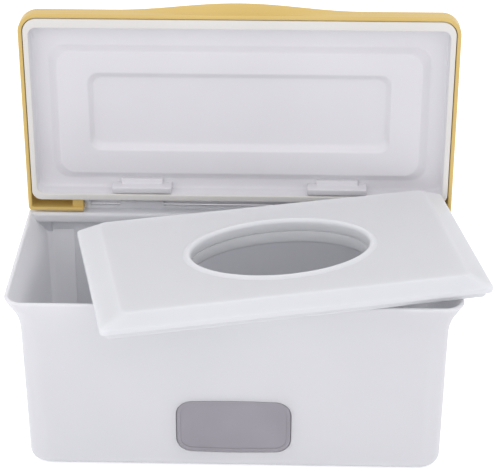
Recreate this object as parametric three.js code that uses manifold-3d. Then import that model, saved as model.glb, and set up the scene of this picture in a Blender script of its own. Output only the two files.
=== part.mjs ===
import * as THREE from 'three';
import { mergeVertices } from 'three/addons/utils/BufferGeometryUtils.js';
import Module from 'manifold-3d';

// Wet wipes dispenser: an open tub, its hinged lid standing open and the loose
// dispensing plate laid askew across the mouth. Millimetres, +Z up. The origin is
// the middle of the tub's underside and the front, with the window, faces -Y.

// Clearances
const seamGap = 0.3;
const pinGap = 0.3;
const lidFit = 0.4;

// Tub
const tubWidth = 240;
const tubDepth = 118.5;
const tubHeight = 103.1;
const tubWall = 2.4;
const tubFloor = 2.6;
const tubRimCorner = 10.5;
const tubBodyCorner = 12;
const tubRimBackCorner = 2.5;
const tubBodyBackCorner = 6;
const tubBottomRound = 5;
const tubInnerRound = 3;
const tubTaper = 1.1;
const rimRound = 0.9;
const flareDrop = 23.6;
const flareBendLowDrop = 11.6;
const flareBendHighDrop = 8.6;
const flareOut = 6.9;
const flareForward = 4;

// Beam across the back of the mouth
const beamDepth = 14;
const beamThickness = 6;
const beamEdgeRound = 1.8;
const bossFromSide = 12.5;
const bossDrop = 10;
const bossSetback = 1.2;
const backPanelThickness = 1;
const backPanelFromSide = 24.5;
const backBandFromSide = 12;
const backBandDrop = 13.6;

// Hinge
const hingeInFromBack = 6;
const pinRadius = 1.25;
const pinLength = 8;
const earOuter = 88.2;
const earThickness = 2.3;
const earRadius = 2.6;
const stepRise = 1.6;
const stepFront = 0.6;
const stepBack = 2.4;
const knuckleInner = 43.3;
const knuckleOuter = 68;
const knuckleRise = 4.4;

// Window in the front wall
const windowHalf = 31;
const windowLow = 10.4;
const windowHigh = 42.6;
const windowCorner = 8.5;
const windowBow = 0.5;
const windowRecess = 0.3;
const windowBorder = 2.5;
const windowBorderDepth = 0.4;
const flangeReach = 3;
const flangeThickness = 1.2;

// Feet
const footRadius = 6.6;
const footHeight = 1.8;
const footProud = 0.8;
const footEdge = 0.5;
const footFromSide = 28;
const footFromFront = 23.25;

// Lid shell
const lidDepth = 13;
const lidWall = 2.2;
const lidTopRound = 5;
const lidHingeCorner = 2.5;
const lidRimRound = 0.9;
const lidInnerRound = 2;
const notchGap = 0.5;
const blockWidth = 6.3;
const blockLength = 8.6;
const blockDepth = 2.1;
const lipHalf = 68;
const lipSteps = 16;

// Lid seal and liner
const sealFace = 0.2;
const sealThickness = 1.3;
const sealLow = 7.1;
const sealSideWidth = 3;
const sealHingeWidth = 3.7;
const sealFrontWidth = 5.3;
const sealLowCorner = 5.5;
const sealHighCorner = 7.9;
const sealInnerCorner = 4.5;
const sealEdge = 0.4;
const linerBack = 10.5;
const linerFloor = 9;
const plateauDepth = 5.5;
const recessDepth = 8.3;
const padInner = 38.5;
const padOuter = 71.9;
const padLow = 11.5;
const padHigh = 15;
const padDepth = 0.7;
const tongueInner = 43.5;
const tongueOuter = 67;
const tongueHigh = 18;
const tongueDepth = 6;
const earPocket = 3.1;
const apronLow = 0.9;

// Dispensing plate
const plateWidth = 204.8;
const plateDepth = 97.5;
const plateCorner = 2.6;
const plateTopCorner = 4.4;
const plateInnerCorner = 1.2;
const plateHeight = 13.8;
const coverStart = 4.2;
const bandTop = 7.4;
const slopeSide = 11.7;
const slopeFront = 5;
const coverRim = 4;
const coverSkin = 2;
const baseInset = 2.6;
const baseWall = 2;
const baseRound = 1.4;
const holeHalfX = 48;
const holeHalfY = 25.5;
const collarWall = 2.2;
const lipRise = 1.2;
const lipReach = 5;
const collarSeam = 8;
const weightX = 74;
const weightHalfX = 16.5;
const weightHalfY = 30;
const weightThickness = 4.5;
const weightCorner = 3;
const weightEdge = 0.4;

// Where the plate lies: middle of its underside, and its turns in degrees
const plateX = 24.1;
const plateY = -24.8;
const plateLift = 3.4;
const plateTip = 4.5;
const plateRoll = -0.7;
const plateTurn = 12.94;

// Derived places
const tubFront = -tubDepth / 2;
const tubBack = tubDepth / 2;
const hingeY = tubBack - hingeInFromBack;
const hingeZ = tubHeight + seamGap + hingeInFromBack;
const beamFront = tubBack - beamDepth;
const lidRimY = hingeY - hingeInFromBack;
const wallFront = tubFront + flareForward;
const lidInner = lidDepth - lidWall;
const flareStart = tubHeight - flareDrop;
const earInner = earOuter - earThickness;
const stepReach = earInner - 0.4;
const notchReach = earOuter + notchGap;
const blockOuter = notchReach + blockWidth;
const pinStart = earInner + 0.1;
const pinEnd = pinStart + pinLength;
const linerFace = sealFace + sealThickness + seamGap;
const linerHalf = tubWidth / 2 - lidWall - lidFit;
const sealHigh = tubDepth - lidWall - lidFit;

// How far a cutting solid runs past what it cuts
const cutOver = 1;

const cornerSteps = 8;
const ovalSteps = 56;

const wasm = await Module();
wasm.setup();

const white = [0xeceef2, 0.42];
const creamWhite = [0xeeece6, 0.5];
const mustard = [0xe6cd8c, 0.45];
const frosted = [0xb9b4bd, 0.3];
const rubberGrey = [0x8d8f94, 0.8];
const steel = [0xb6b8bc, 0.35];

// Solids in and out of triangle meshes

function solidOf(geometry) {
  const bare = geometry.clone();
  bare.deleteAttribute('normal');
  bare.deleteAttribute('uv');
  const joined = mergeVertices(bare, 1e-4);
  return new wasm.Manifold(new wasm.Mesh({
    numProp: 3,
    vertProperties: new Float32Array(joined.attributes.position.array),
    triVerts: new Uint32Array(joined.index.array),
  }));
}

function geometryOf(solid) {
  const mesh = solid.getMesh();
  const geometry = new THREE.BufferGeometry();
  geometry.setAttribute('position', new THREE.BufferAttribute(new Float32Array(mesh.vertProperties), 3));
  geometry.setIndex(new THREE.BufferAttribute(new Uint32Array(mesh.triVerts), 1));
  const flat = geometry.toNonIndexed();
  flat.computeVertexNormals();
  return flat;
}

function node(name, solid, [colour, roughness], metalness = 0) {
  const material = new THREE.MeshStandardMaterial({ color: colour, roughness, metalness });
  const mesh = new THREE.Mesh(geometryOf(solid), material);
  mesh.name = name;
  return mesh;
}

function joinAll(first, others) {
  return others.reduce((sum, solid) => sum.add(solid), first);
}

// Outlines and the skins stretched over them

function quarter(steps) {
  return Array.from({ length: steps + 1 }, (_, k) => (k / steps) * Math.PI / 2);
}

// Rounded rectangle at one level, anticlockwise from above. The high side can be
// split at given x places and pushed outward there.
function ring({ half, low, high, lowCorner, highCorner = lowCorner, level, splits = [], push = () => 0 }) {
  const points = [];
  const corner = (x, y, radius, start) => {
    for (const angle of quarter(cornerSteps)) {
      const px = x + radius * Math.cos(start + angle);
      const py = y + radius * Math.sin(start + angle);
      points.push(new THREE.Vector3(px, py, level));
    }
  };
  corner(half - lowCorner, low + lowCorner, lowCorner, -Math.PI / 2);
  corner(half - highCorner, high - highCorner, highCorner, 0);
  for (const x of splits) {
    points.push(new THREE.Vector3(x, high + push(x), level));
  }
  corner(highCorner - half, high - highCorner, highCorner, Math.PI / 2);
  corner(lowCorner - half, low + lowCorner, lowCorner, Math.PI);
  return points;
}

function centredRing(half, halfDepth, radius, level) {
  return ring({ half, low: -halfDepth, high: halfDepth, lowCorner: radius, level });
}

function ovalRing(halfX, halfY, level) {
  return Array.from({ length: ovalSteps }, (_, k) => {
    const angle = (k / ovalSteps) * Math.PI * 2;
    return new THREE.Vector3(halfX * Math.cos(angle), halfY * Math.sin(angle), level);
  });
}

// Skin over rings that run up the outside and down the inside. A loop joins the
// last ring to the first; otherwise both ends are closed flat.
function loft(rings, loop = false) {
  const count = rings[0].length;
  const last = (rings.length - 1) * count;
  const faces = [];
  const spans = loop ? rings.length : rings.length - 1;
  for (let i = 0; i < spans; i += 1) {
    const upper = ((i + 1) % rings.length) * count;
    for (let j = 0; j < count; j += 1) {
      const next = (j + 1) % count;
      faces.push(i * count + j, i * count + next, upper + next);
      faces.push(i * count + j, upper + next, upper + j);
    }
  }
  for (let j = 1; j < count - 1 && !loop; j += 1) {
    faces.push(0, j + 1, j);
    faces.push(last, last + j, last + j + 1);
  }
  const geometry = new THREE.BufferGeometry().setFromPoints(rings.flat());
  geometry.setIndex(faces);
  return solidOf(geometry);
}

function box(x0, x1, y0, y1, z0, z1) {
  const geometry = new THREE.BoxGeometry(x1 - x0, y1 - y0, z1 - z0);
  geometry.translate((x0 + x1) / 2, (y0 + y1) / 2, (z0 + z1) / 2);
  return solidOf(geometry);
}

// Outline drawn in (y, z) and drawn out along X
function barAlongX(shape, x0, x1) {
  const options = { depth: x1 - x0, bevelEnabled: false, curveSegments: 10 };
  const geometry = new THREE.ExtrudeGeometry(shape, options);
  const [alongX, alongY, alongZ] = [[1, 0, 0], [0, 1, 0], [0, 0, 1]].map((v) => new THREE.Vector3(...v));
  geometry.applyMatrix4(new THREE.Matrix4().makeBasis(alongY, alongZ, alongX));
  geometry.translate(x0, 0, 0);
  return solidOf(geometry);
}

// Outline drawn in (x, z) and drawn out toward the front from a given y
function slabTowardFront(shape, yStart, thickness) {
  const options = { depth: thickness, bevelEnabled: false, curveSegments: 8 };
  const geometry = new THREE.ExtrudeGeometry(shape, options);
  geometry.rotateX(Math.PI / 2);
  geometry.translate(0, yStart, 0);
  return solidOf(geometry);
}

function rodAlongX(radius, x0, x1, y, z) {
  const shape = new THREE.Shape().absarc(y, z, radius, 0, Math.PI * 2);
  return barAlongX(shape, x0, x1);
}

function bothSides(make) {
  return [make(-1), make(1)];
}

function sideBox(side, near, far, y0, y1, z0, z1) {
  const [x0, x1] = side > 0 ? [near, far] : [-far, -near];
  return box(x0, x1, y0, y1, z0, z1);
}

// Tub

// Level by level the wall leans out toward the rim: lean 1 is the body, 0 the rim.
function tubRing(lean, inset, level) {
  const taper = tubTaper * Math.max(0, 1 - level / flareStart);
  const half = tubWidth / 2 - lean * flareOut - taper - inset;
  const halfDepth = tubDepth / 2 - lean * flareForward - inset;
  const front = tubRimCorner + lean * (tubBodyCorner - tubRimCorner) - inset;
  const back = tubRimBackCorner + lean * (tubBodyBackCorner - tubRimBackCorner) - inset;
  return ring({
    half,
    low: -halfDepth,
    high: halfDepth,
    lowCorner: Math.max(front, 1.5),
    highCorner: Math.max(back, 1),
    level,
  });
}

function flareLevels() {
  const bend = new THREE.CubicBezierCurve(
    new THREE.Vector2(1, flareStart),
    new THREE.Vector2(0.97, tubHeight - flareBendLowDrop),
    new THREE.Vector2(0.46, tubHeight - flareBendHighDrop),
    new THREE.Vector2(0, tubHeight - rimRound),
  );
  return bend.getPoints(7);
}

function tubOutside() {
  const round = quarter(5).map((a) => tubRing(
    1, tubBottomRound * (1 - Math.sin(a)), tubBottomRound * (1 - Math.cos(a)),
  ));
  const flare = flareLevels().map((p) => tubRing(p.x, 0, p.y));
  return [...round, ...flare];
}

function rimRings() {
  const outer = quarter(3).slice(1).map((a) => tubRing(
    0, rimRound * (1 - Math.cos(a)), tubHeight - rimRound * (1 - Math.sin(a)),
  ));
  const inner = quarter(3).slice(0, -1).map((a) => tubRing(
    0, tubWall - rimRound * (1 - Math.sin(a)), tubHeight - rimRound * (1 - Math.cos(a)),
  ));
  return [...outer, ...inner];
}

function tubInside() {
  const flare = flareLevels().reverse().map((p) => tubRing(p.x, tubWall, p.y));
  const round = quarter(4).map((a) => tubRing(
    1, tubWall + tubInnerRound * (1 - Math.cos(a)), tubFloor + tubInnerRound * (1 - Math.sin(a)),
  ));
  return [...flare, ...round];
}

function beam() {
  const shape = new THREE.Shape();
  shape.moveTo(beamFront + 0.6, tubHeight - beamThickness);
  shape.lineTo(tubBack, tubHeight - beamThickness);
  shape.lineTo(tubBack, tubHeight);
  shape.lineTo(beamFront + beamEdgeRound, tubHeight);
  shape.absarc(beamFront + beamEdgeRound, tubHeight - beamEdgeRound, beamEdgeRound, Math.PI / 2, Math.PI);
  shape.lineTo(beamFront, tubHeight - beamThickness + 0.6);
  return barAlongX(shape, -tubWidth / 2, tubWidth / 2);
}

function cornerBoss(side) {
  const front = beamFront + bossSetback;
  const top = tubHeight - beamThickness;
  const shape = new THREE.Shape();
  shape.moveTo(front, top + 1);
  shape.lineTo(front, top);
  shape.lineTo(tubBack - flareForward - tubWall, top - bossDrop);
  shape.lineTo(tubBack, top - bossDrop);
  shape.lineTo(tubBack, top + 1);
  const inner = tubWidth / 2 - bossFromSide;
  const [x0, x1] = side > 0 ? [inner, tubWidth / 2] : [-tubWidth / 2, -inner];
  return barAlongX(shape, x0, x1);
}

function backPanels() {
  const face = tubBack - flareForward - tubWall - backPanelThickness;
  const top = tubHeight - beamThickness + 1;
  const panelHalf = tubWidth / 2 - backPanelFromSide;
  const bandHalf = tubWidth / 2 - backBandFromSide;
  return [
    box(-panelHalf, panelHalf, face, tubBack, tubFloor - 1, top),
    box(-bandHalf, bandHalf, face, tubBack, tubHeight - backBandDrop, top),
  ];
}

function hingeStep() {
  const front = hingeY - stepFront;
  const back = hingeY + stepBack;
  const low = tubHeight - 1;
  const knuckles = bothSides((side) => sideBox(
    side, knuckleInner, knuckleOuter, front, back, low, tubHeight + knuckleRise,
  ));
  return joinAll(box(-stepReach, stepReach, front, back, low, tubHeight + stepRise), knuckles);
}

function ear(side) {
  const shape = new THREE.Shape();
  const meet = Math.PI + Math.acos(stepFront / earRadius);
  shape.moveTo(hingeY - stepFront, tubHeight - 1);
  shape.lineTo(hingeY + earRadius, tubHeight - 1);
  shape.lineTo(hingeY + earRadius, hingeZ);
  shape.absarc(hingeY, hingeZ, earRadius, 0, meet);
  shape.closePath();
  const [x0, x1] = side > 0 ? [stepReach - 0.5, earOuter] : [-earOuter, 0.5 - stepReach];
  const hole = rodAlongX(pinRadius + pinGap, x0 - cutOver, x1 + cutOver, hingeY, hingeZ);
  const clearInner = sideBox(
    side, stepReach - cutOver, earInner, hingeY - earRadius - cutOver, hingeY + earRadius + cutOver,
    tubHeight + stepRise, hingeZ + earRadius + cutOver,
  );
  return barAlongX(shape, x0, x1).subtract(hole).subtract(clearInner);
}

// Room that the lid's rim needs in the beam's end as its corner swings past
function swingRoom(side) {
  const start = earOuter + seamGap;
  const corner = tubWidth / 2 - lidHingeCorner;
  const reach = (inward) => Math.hypot(hingeInFromBack, hingeInFromBack - inward) + lidFit;
  const profile = [
    new THREE.Vector2(0, start),
    new THREE.Vector2(reach(0), start),
    ...quarter(cornerSteps).map((angle) => new THREE.Vector2(
      reach(lidHingeCorner * (1 - Math.cos(angle))), corner + lidHingeCorner * Math.sin(angle),
    )),
    new THREE.Vector2(reach(lidHingeCorner), tubWidth / 2 + cutOver),
    new THREE.Vector2(0, tubWidth / 2 + cutOver),
  ];
  const geometry = new THREE.LatheGeometry(profile, 96);
  geometry.rotateZ(-side * Math.PI / 2);
  geometry.translate(0, hingeY, hingeZ);
  return solidOf(geometry);
}

function windowShape(half, low, high, corner, bow) {
  const shape = new THREE.Shape();
  shape.moveTo(-half + corner, low);
  shape.quadraticCurveTo(0, low - 2 * bow, half - corner, low);
  shape.absarc(half - corner, low + corner, corner, -Math.PI / 2, 0);
  shape.absarc(half - corner, high - corner, corner, 0, Math.PI / 2);
  shape.quadraticCurveTo(0, high + 2 * bow, corner - half, high);
  shape.absarc(corner - half, high - corner, corner, Math.PI / 2, Math.PI);
  shape.absarc(corner - half, low + corner, corner, Math.PI, Math.PI * 1.5);
  return shape;
}

// The window's outline, or a smaller one inside it, as a slab standing in the front wall
function windowSlab(shrink, low, high, yStart, thickness) {
  const corner = windowCorner - Math.min(shrink, 0.5 * windowCorner);
  const shape = windowShape(windowHalf - shrink, low, high, corner, windowBow);
  return slabTowardFront(shape, yStart, thickness);
}

function makeTub() {
  const outside = loft([...tubOutside(), ...rimRings().slice(0, 3)]);
  const shell = loft([...tubOutside(), ...rimRings(), ...tubInside()]);
  const inner = joinAll(beam(), [...bothSides(cornerBoss), ...backPanels()]).intersect(outside);
  const wells = footPlaces().map(([x, y]) => disc(
    footRadius + seamGap, footHeight - footProud + seamGap + cutOver, 0, x, y, -cutOver,
  ));
  const opening = windowSlab(
    0, windowLow, windowHigh, wallFront + tubWall + cutOver, tubWall + 2 * cutOver,
  );
  const whole = joinAll(shell, [inner, hingeStep(), ...bothSides(ear)]);
  const cuts = [opening, ...wells, ...bothSides(swingRoom)];
  return cuts.reduce((sum, cut) => sum.subtract(cut), whole);
}

function makeWindow() {
  const face = wallFront + windowRecess;
  const inside = wallFront + tubWall + seamGap;
  const back = inside + flangeThickness / 2;
  const panel = windowSlab(seamGap, windowLow + seamGap, windowHigh - seamGap, back, back - face);
  const shallow = windowSlab(
    windowBorder, windowLow + windowBorder, windowHigh - windowBorder, face + windowBorderDepth, 3,
  );
  const flange = windowSlab(
    -flangeReach, windowLow - flangeReach, windowHigh + flangeReach,
    inside + flangeThickness, flangeThickness,
  );
  return panel.subtract(shallow).add(flange);
}

// Feet

function footPlaces() {
  const x = tubWidth / 2 - footFromSide;
  const y = tubDepth / 2 - footFromFront;
  return [[-x, -y], [x, -y], [-x, y], [x, y]];
}

function disc(radius, height, edge, x, y, z) {
  const profile = [
    new THREE.Vector2(0, 0),
    new THREE.Vector2(radius - edge, 0),
    new THREE.Vector2(radius, edge),
    new THREE.Vector2(radius, height),
    new THREE.Vector2(0, height),
  ];
  const corners = edge > 0 ? profile : profile.filter((_, k) => k !== 1);
  const geometry = new THREE.LatheGeometry(corners, 32);
  geometry.rotateX(Math.PI / 2);
  geometry.scale(1, -1, 1);
  geometry.translate(x, y, z);
  return solidOf(flipped(geometry));
}

// A mirrored mesh is turned right side out again
function flipped(geometry) {
  const index = geometry.index.array;
  for (let k = 0; k < index.length; k += 3) {
    [index[k + 1], index[k + 2]] = [index[k + 2], index[k + 1]];
  }
  return geometry;
}

function makeFeet() {
  const names = ['foot_front_left', 'foot_front_right', 'foot_rear_left', 'foot_rear_right'];
  return footPlaces().map(([x, y], k) => node(
    names[k], disc(footRadius, footHeight, footEdge, x, y, -footProud), rubberGrey,
  ));
}

// Lid, drawn lying on its back: rim up at z = 0, hinge side at y = 0, front at high y

// How far the middle of the front wall stands out at each depth, as depth, outward
const lipProfile = [
  [13, -1], [12.7, 0.6], [12, 2.1], [11, 3.2], [9.5, 3.8], [8, 3], [6.6, 1.1], [5.2, -0.6],
  [4, -1], [2.6, -0.6], [1.4, 0], [0.9, 0],
];

function topRoundInset(depth) {
  const rise = Math.max(0, depth - (lidDepth - lidTopRound));
  return lidTopRound - Math.sqrt(lidTopRound ** 2 - rise ** 2);
}

function lidRing(inset, depth, lipOut = -inset) {
  const splits = Array.from({ length: lipSteps + 1 }, (_, k) => lipHalf * (1 - 2 * k / lipSteps));
  const lipWeight = (x) => Math.cos((Math.PI * x) / (2 * lipHalf)) ** 2;
  return ring({
    half: tubWidth / 2 - inset,
    low: inset,
    high: tubDepth - inset,
    lowCorner: Math.max(lidHingeCorner - inset, 1),
    highCorner: Math.max(tubRimCorner - inset, 1.5),
    level: -depth,
    splits,
    push: (x) => lipWeight(x) * (lipOut + inset),
  });
}

function makeLidShell() {
  const outside = lipProfile.map(([depth, out]) => lidRing(topRoundInset(depth), depth, out));
  const rim = quarter(3).slice(1).map((a) => lidRing(
    lidRimRound * (1 - Math.cos(a)), lidRimRound * (1 - Math.sin(a)),
  ));
  const inside = [
    lidRing(lidWall - 0.5, 0),
    lidRing(lidWall, 0.5),
    lidRing(lidWall, lidInner - lidInnerRound),
    lidRing(lidWall + 0.3 * lidInnerRound, lidInner - 0.3 * lidInnerRound),
    lidRing(lidWall + lidInnerRound, lidInner),
  ];
  const tray = loft([...outside, ...rim, ...inside]);
  const notchBack = lidWall + lidInnerRound + lidFit;
  const notch = box(-notchReach, notchReach, -cutOver, notchBack, -lidInner, cutOver);
  const blocks = bothSides((side) => sideBox(
    side, notchReach, blockOuter, 0.5, blockLength, -lidInner - 0.5, -blockDepth,
  ));
  const bores = bothSides((side) => rodAlongX(
    pinRadius + pinGap, side > 0 ? notchReach - cutOver : -pinEnd - pinGap,
    side > 0 ? pinEnd + pinGap : cutOver - notchReach, hingeInFromBack, -hingeInFromBack,
  ));
  return bores.reduce((sum, bore) => sum.subtract(bore), joinAll(tray.subtract(notch), blocks));
}

function sealRing(half, low, high, lowCorner, highCorner, depth) {
  return ring({ half, low, high, lowCorner, highCorner, level: -depth });
}

function makeLidSeal() {
  const edge = (inset, depth) => sealRing(
    linerHalf - inset, sealLow + inset, sealHigh - inset,
    sealLowCorner - inset, sealHighCorner - inset, depth,
  );
  const hole = (inset, depth) => sealRing(
    linerHalf - sealSideWidth + inset, sealLow + sealHingeWidth - inset, sealHigh - sealFrontWidth + inset,
    sealInnerCorner + inset, sealInnerCorner + inset, depth,
  );
  const back = sealFace + sealThickness;
  return loft([
    edge(0, back), edge(0, sealFace + sealEdge), edge(sealEdge, sealFace),
    hole(sealEdge, sealFace), hole(0, sealFace + sealEdge), hole(0, back),
  ], true);
}

// Each row: in from the liner's sides, hinge edge and front edge, corners, depth
function linerTray() {
  const rows = [
    [2, 2, 2, sealLowCorner - 2, sealHighCorner - 2, linerBack],
    [0, 0, 0, sealLowCorner, sealHighCorner, linerBack - 2],
    [0, 0, 0, sealLowCorner, sealHighCorner, linerFace],
    [2.5, 3.3, 4.9, 4.8, 4.8, linerFace],
    [2.8, 3.7, 5.2, 4.6, 4.6, linerFace + 0.4],
    [3.3, 4.3, 5.7, 4.4, 4.4, linerFloor - 1.6],
    [3.8, 4.8, 6.2, 4, 4, linerFloor - 0.5],
    [4.9, 5.9, 7.3, 3.4, 3.4, linerFloor],
    [12, 10.1, 17.4, 9.6, 9.6, linerFloor],
    [12.8, 10.9, 18.2, 9, 9, linerFloor - 0.35],
    [16.3, 14.3, 20.3, 8.6, 8.6, plateauDepth + 0.5],
    [16.9, 14.8, 20.9, 8.3, 8.3, plateauDepth + 0.12],
    [17.6, 15.5, 21.6, 7.8, 7.8, plateauDepth],
    [33.2, 28.3, 32.7, 6.6, 6.6, plateauDepth],
    [33.9, 29, 33.4, 6, 6, plateauDepth + 0.2],
    [35.8, 31.7, 36.1, 5.6, 5.6, recessDepth - 0.4],
    [36.6, 32.7, 37.1, 5, 5, recessDepth],
  ];
  return loft(rows.map(([side, hinge, front, ...rest]) => sealRing(
    linerHalf - side, sealLow + hinge, sealHigh - front, ...rest,
  )));
}

function makeLidLiner() {
  const pads = bothSides((side) => sideBox(
    side, padInner, padOuter, padLow, padHigh, -linerFloor - 0.5, -padDepth,
  ));
  const tongues = bothSides((side) => sideBox(
    side, tongueInner, tongueOuter, padHigh - 0.5, tongueHigh, -linerFloor - 0.5, -tongueDepth,
  ));
  const pockets = bothSides((side) => sideBox(
    side, notchReach - lidFit, blockOuter + lidFit, sealLow - 1, blockLength + lidFit,
    -linerBack - 1, -blockDepth + lidFit,
  ));
  const earRooms = bothSides((side) => rodAlongX(
    earPocket, side > 0 ? earInner - lidFit : -notchReach - lidFit,
    side > 0 ? notchReach + lidFit : lidFit - earInner, hingeInFromBack, -hingeInFromBack,
  ));
  const apronHalf = notchReach - lidFit;
  const apron = box(-apronHalf, apronHalf, apronLow, sealLow + 1, -linerBack, -linerFloor);
  const whole = joinAll(linerTray(), [...pads, ...tongues, apron]);
  return [...pockets, ...earRooms].reduce((sum, cut) => sum.subtract(cut), whole);
}

function makeLid() {
  const lid = new THREE.Group();
  lid.name = 'lid';
  lid.add(node('lid_shell', makeLidShell(), mustard));
  lid.add(node('lid_liner', makeLidLiner(), white));
  lid.add(node('lid_seal', makeLidSeal(), creamWhite));
  lid.rotation.x = Math.PI / 2;
  lid.position.set(0, lidRimY, tubHeight + seamGap);
  return lid;
}

// Hinge pins

function makePin(name, side) {
  const [x0, x1] = side > 0 ? [pinStart, pinEnd] : [-pinEnd, -pinStart];
  return node(name, rodAlongX(pinRadius, x0, x1, hingeY, hingeZ), steel, 0.9);
}

// Dispensing plate, drawn with its underside on z = 0

function plateRing(insetX, insetY, radius, level) {
  const corner = Math.max(radius, plateInnerCorner);
  return centredRing(plateWidth / 2 - insetX, plateDepth / 2 - insetY, corner, level);
}

function ovalTube(rows) {
  return loft(rows.map(([wall, level]) => ovalRing(holeHalfX + wall, holeHalfY + wall, level)), true);
}

function makePlateCover() {
  const ceiling = plateHeight - coverSkin;
  const innerX = slopeSide + coverSkin;
  const innerY = slopeFront + coverSkin + 1;
  const skin = loft([
    plateRing(innerX, innerY, 3, ceiling),
    plateRing(coverRim, coverRim, plateCorner - coverRim, bandTop - 0.6),
    plateRing(coverRim, coverRim, plateCorner - coverRim, coverStart),
    plateRing(0.5, 0.5, plateCorner - 0.5, coverStart),
    plateRing(0, 0, plateCorner, coverStart + 0.5),
    plateRing(0, 0, plateCorner, bandTop - 0.35),
    plateRing(0.15, 0.12, plateCorner, bandTop - 0.1),
    plateRing(0.7, 0.35, plateCorner, bandTop + 0.25),
    plateRing(slopeSide - 0.9, slopeFront - 0.5, plateTopCorner + 0.3, plateHeight - 0.45),
    plateRing(slopeSide, slopeFront, plateTopCorner, plateHeight - 0.1),
    plateRing(slopeSide + 0.8, slopeFront + 0.6, plateTopCorner - 0.4, plateHeight),
  ]);
  const mid = collarWall / 2;
  const through = loft([0, plateHeight + cutOver].map(
    (level) => ovalRing(holeHalfX + mid, holeHalfY + mid, level),
  ));
  const crest = collarWall - 0.5;
  const lipOutside = [1, 0.75, 0.5, 0.25, 0].map((t) => [
    crest + t * (lipReach - crest), plateHeight + lipRise * Math.cos(t * Math.PI / 2) ** 2 - 0.1 * t,
  ]);
  const lipInside = quarter(4).slice(1).map((a) => [
    crest * (1 - Math.sin(a)), plateHeight + lipRise - (crest + lipRise / 2) * (1 - Math.cos(a)),
  ]);
  const collar = ovalTube([
    [collarWall, collarSeam], [collarWall, plateHeight - coverSkin / 2],
    [lipReach, plateHeight - coverSkin / 2], ...lipOutside, ...lipInside,
    [0, collarSeam + 0.15], [0.15, collarSeam],
  ]);
  return skin.subtract(through).add(collar);
}

function makePlateBase() {
  const top = coverStart - seamGap;
  const tray = loft([
    ...quarter(3).map((a) => {
      const inset = baseInset + baseRound * (1 - Math.sin(a));
      return plateRing(inset, inset, plateCorner + baseInset - inset, baseRound * (1 - Math.cos(a)));
    }),
    plateRing(baseInset, baseInset, plateCorner, top),
    plateRing(baseInset + baseWall, baseInset + baseWall, plateInnerCorner, top),
    plateRing(baseInset + baseWall, baseInset + baseWall, plateInnerCorner, baseWall),
  ]);
  const mid = collarWall / 2;
  const through = loft([-cutOver, plateHeight].map(
    (level) => ovalRing(holeHalfX + mid, holeHalfY + mid, level),
  ));
  const collar = ovalTube([
    [collarWall, 0], [collarWall, collarSeam - seamGap], [0.15, collarSeam - seamGap],
    [0, collarSeam - seamGap - 0.15], [0, 1.2], [0.4, 0.35], [1.2, 0],
  ]);
  return tray.subtract(through).add(collar);
}

function makeWeight(name, side) {
  const low = baseWall + seamGap;
  const high = low + weightThickness;
  const shape = (inset, level) => centredRing(
    weightHalfX - inset, weightHalfY - inset, weightCorner - inset, level,
  );
  const solid = loft([
    shape(weightEdge, low), shape(0, low + weightEdge), shape(0, high - weightEdge), shape(weightEdge, high),
  ]);
  return node(name, solid.translate([side * weightX, 0, 0]), steel, 0.8);
}

function makePlate() {
  const plate = new THREE.Group();
  plate.name = 'plate';
  plate.add(node('plate_cover', makePlateCover(), white));
  plate.add(node('plate_base', makePlateBase(), white));
  plate.add(makeWeight('plate_weight_left', -1));
  plate.add(makeWeight('plate_weight_right', 1));
  const turns = [plateTip, plateRoll, plateTurn].map(THREE.MathUtils.degToRad);
  plate.rotation.set(...turns, 'ZYX');
  plate.position.set(plateX, plateY, tubHeight + plateLift);
  return plate;
}

const dispenser = new THREE.Group();
dispenser.name = 'wet_wipes_dispenser';
dispenser.add(node('tub', makeTub(), white));
dispenser.add(node('window', makeWindow(), frosted));
dispenser.add(...makeFeet());
dispenser.add(makePin('hinge_pin_left', -1));
dispenser.add(makePin('hinge_pin_right', 1));
dispenser.add(makeLid());
dispenser.add(makePlate());

export default dispenser;
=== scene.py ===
import math

import bmesh
import bpy
from mathutils import Matrix, Vector


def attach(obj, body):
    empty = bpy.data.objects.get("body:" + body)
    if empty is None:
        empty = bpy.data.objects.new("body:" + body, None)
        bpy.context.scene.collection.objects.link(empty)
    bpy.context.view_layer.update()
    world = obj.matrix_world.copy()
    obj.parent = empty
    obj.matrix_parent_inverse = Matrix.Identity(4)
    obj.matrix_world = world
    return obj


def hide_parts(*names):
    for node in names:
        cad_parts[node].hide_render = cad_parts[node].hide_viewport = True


# Wet wipes dispenser with its lid open and the loose dispensing plate across the
# mouth. Pieces are drawn in millimetres and turned to metres when they are finished.

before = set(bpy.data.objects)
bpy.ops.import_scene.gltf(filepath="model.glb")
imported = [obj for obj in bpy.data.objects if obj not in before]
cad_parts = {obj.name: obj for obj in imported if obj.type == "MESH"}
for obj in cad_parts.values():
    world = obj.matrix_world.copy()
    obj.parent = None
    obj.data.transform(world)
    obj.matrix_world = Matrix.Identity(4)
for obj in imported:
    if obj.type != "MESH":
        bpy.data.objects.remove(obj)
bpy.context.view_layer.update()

MM = 0.001
SEAM = 0.3

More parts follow.
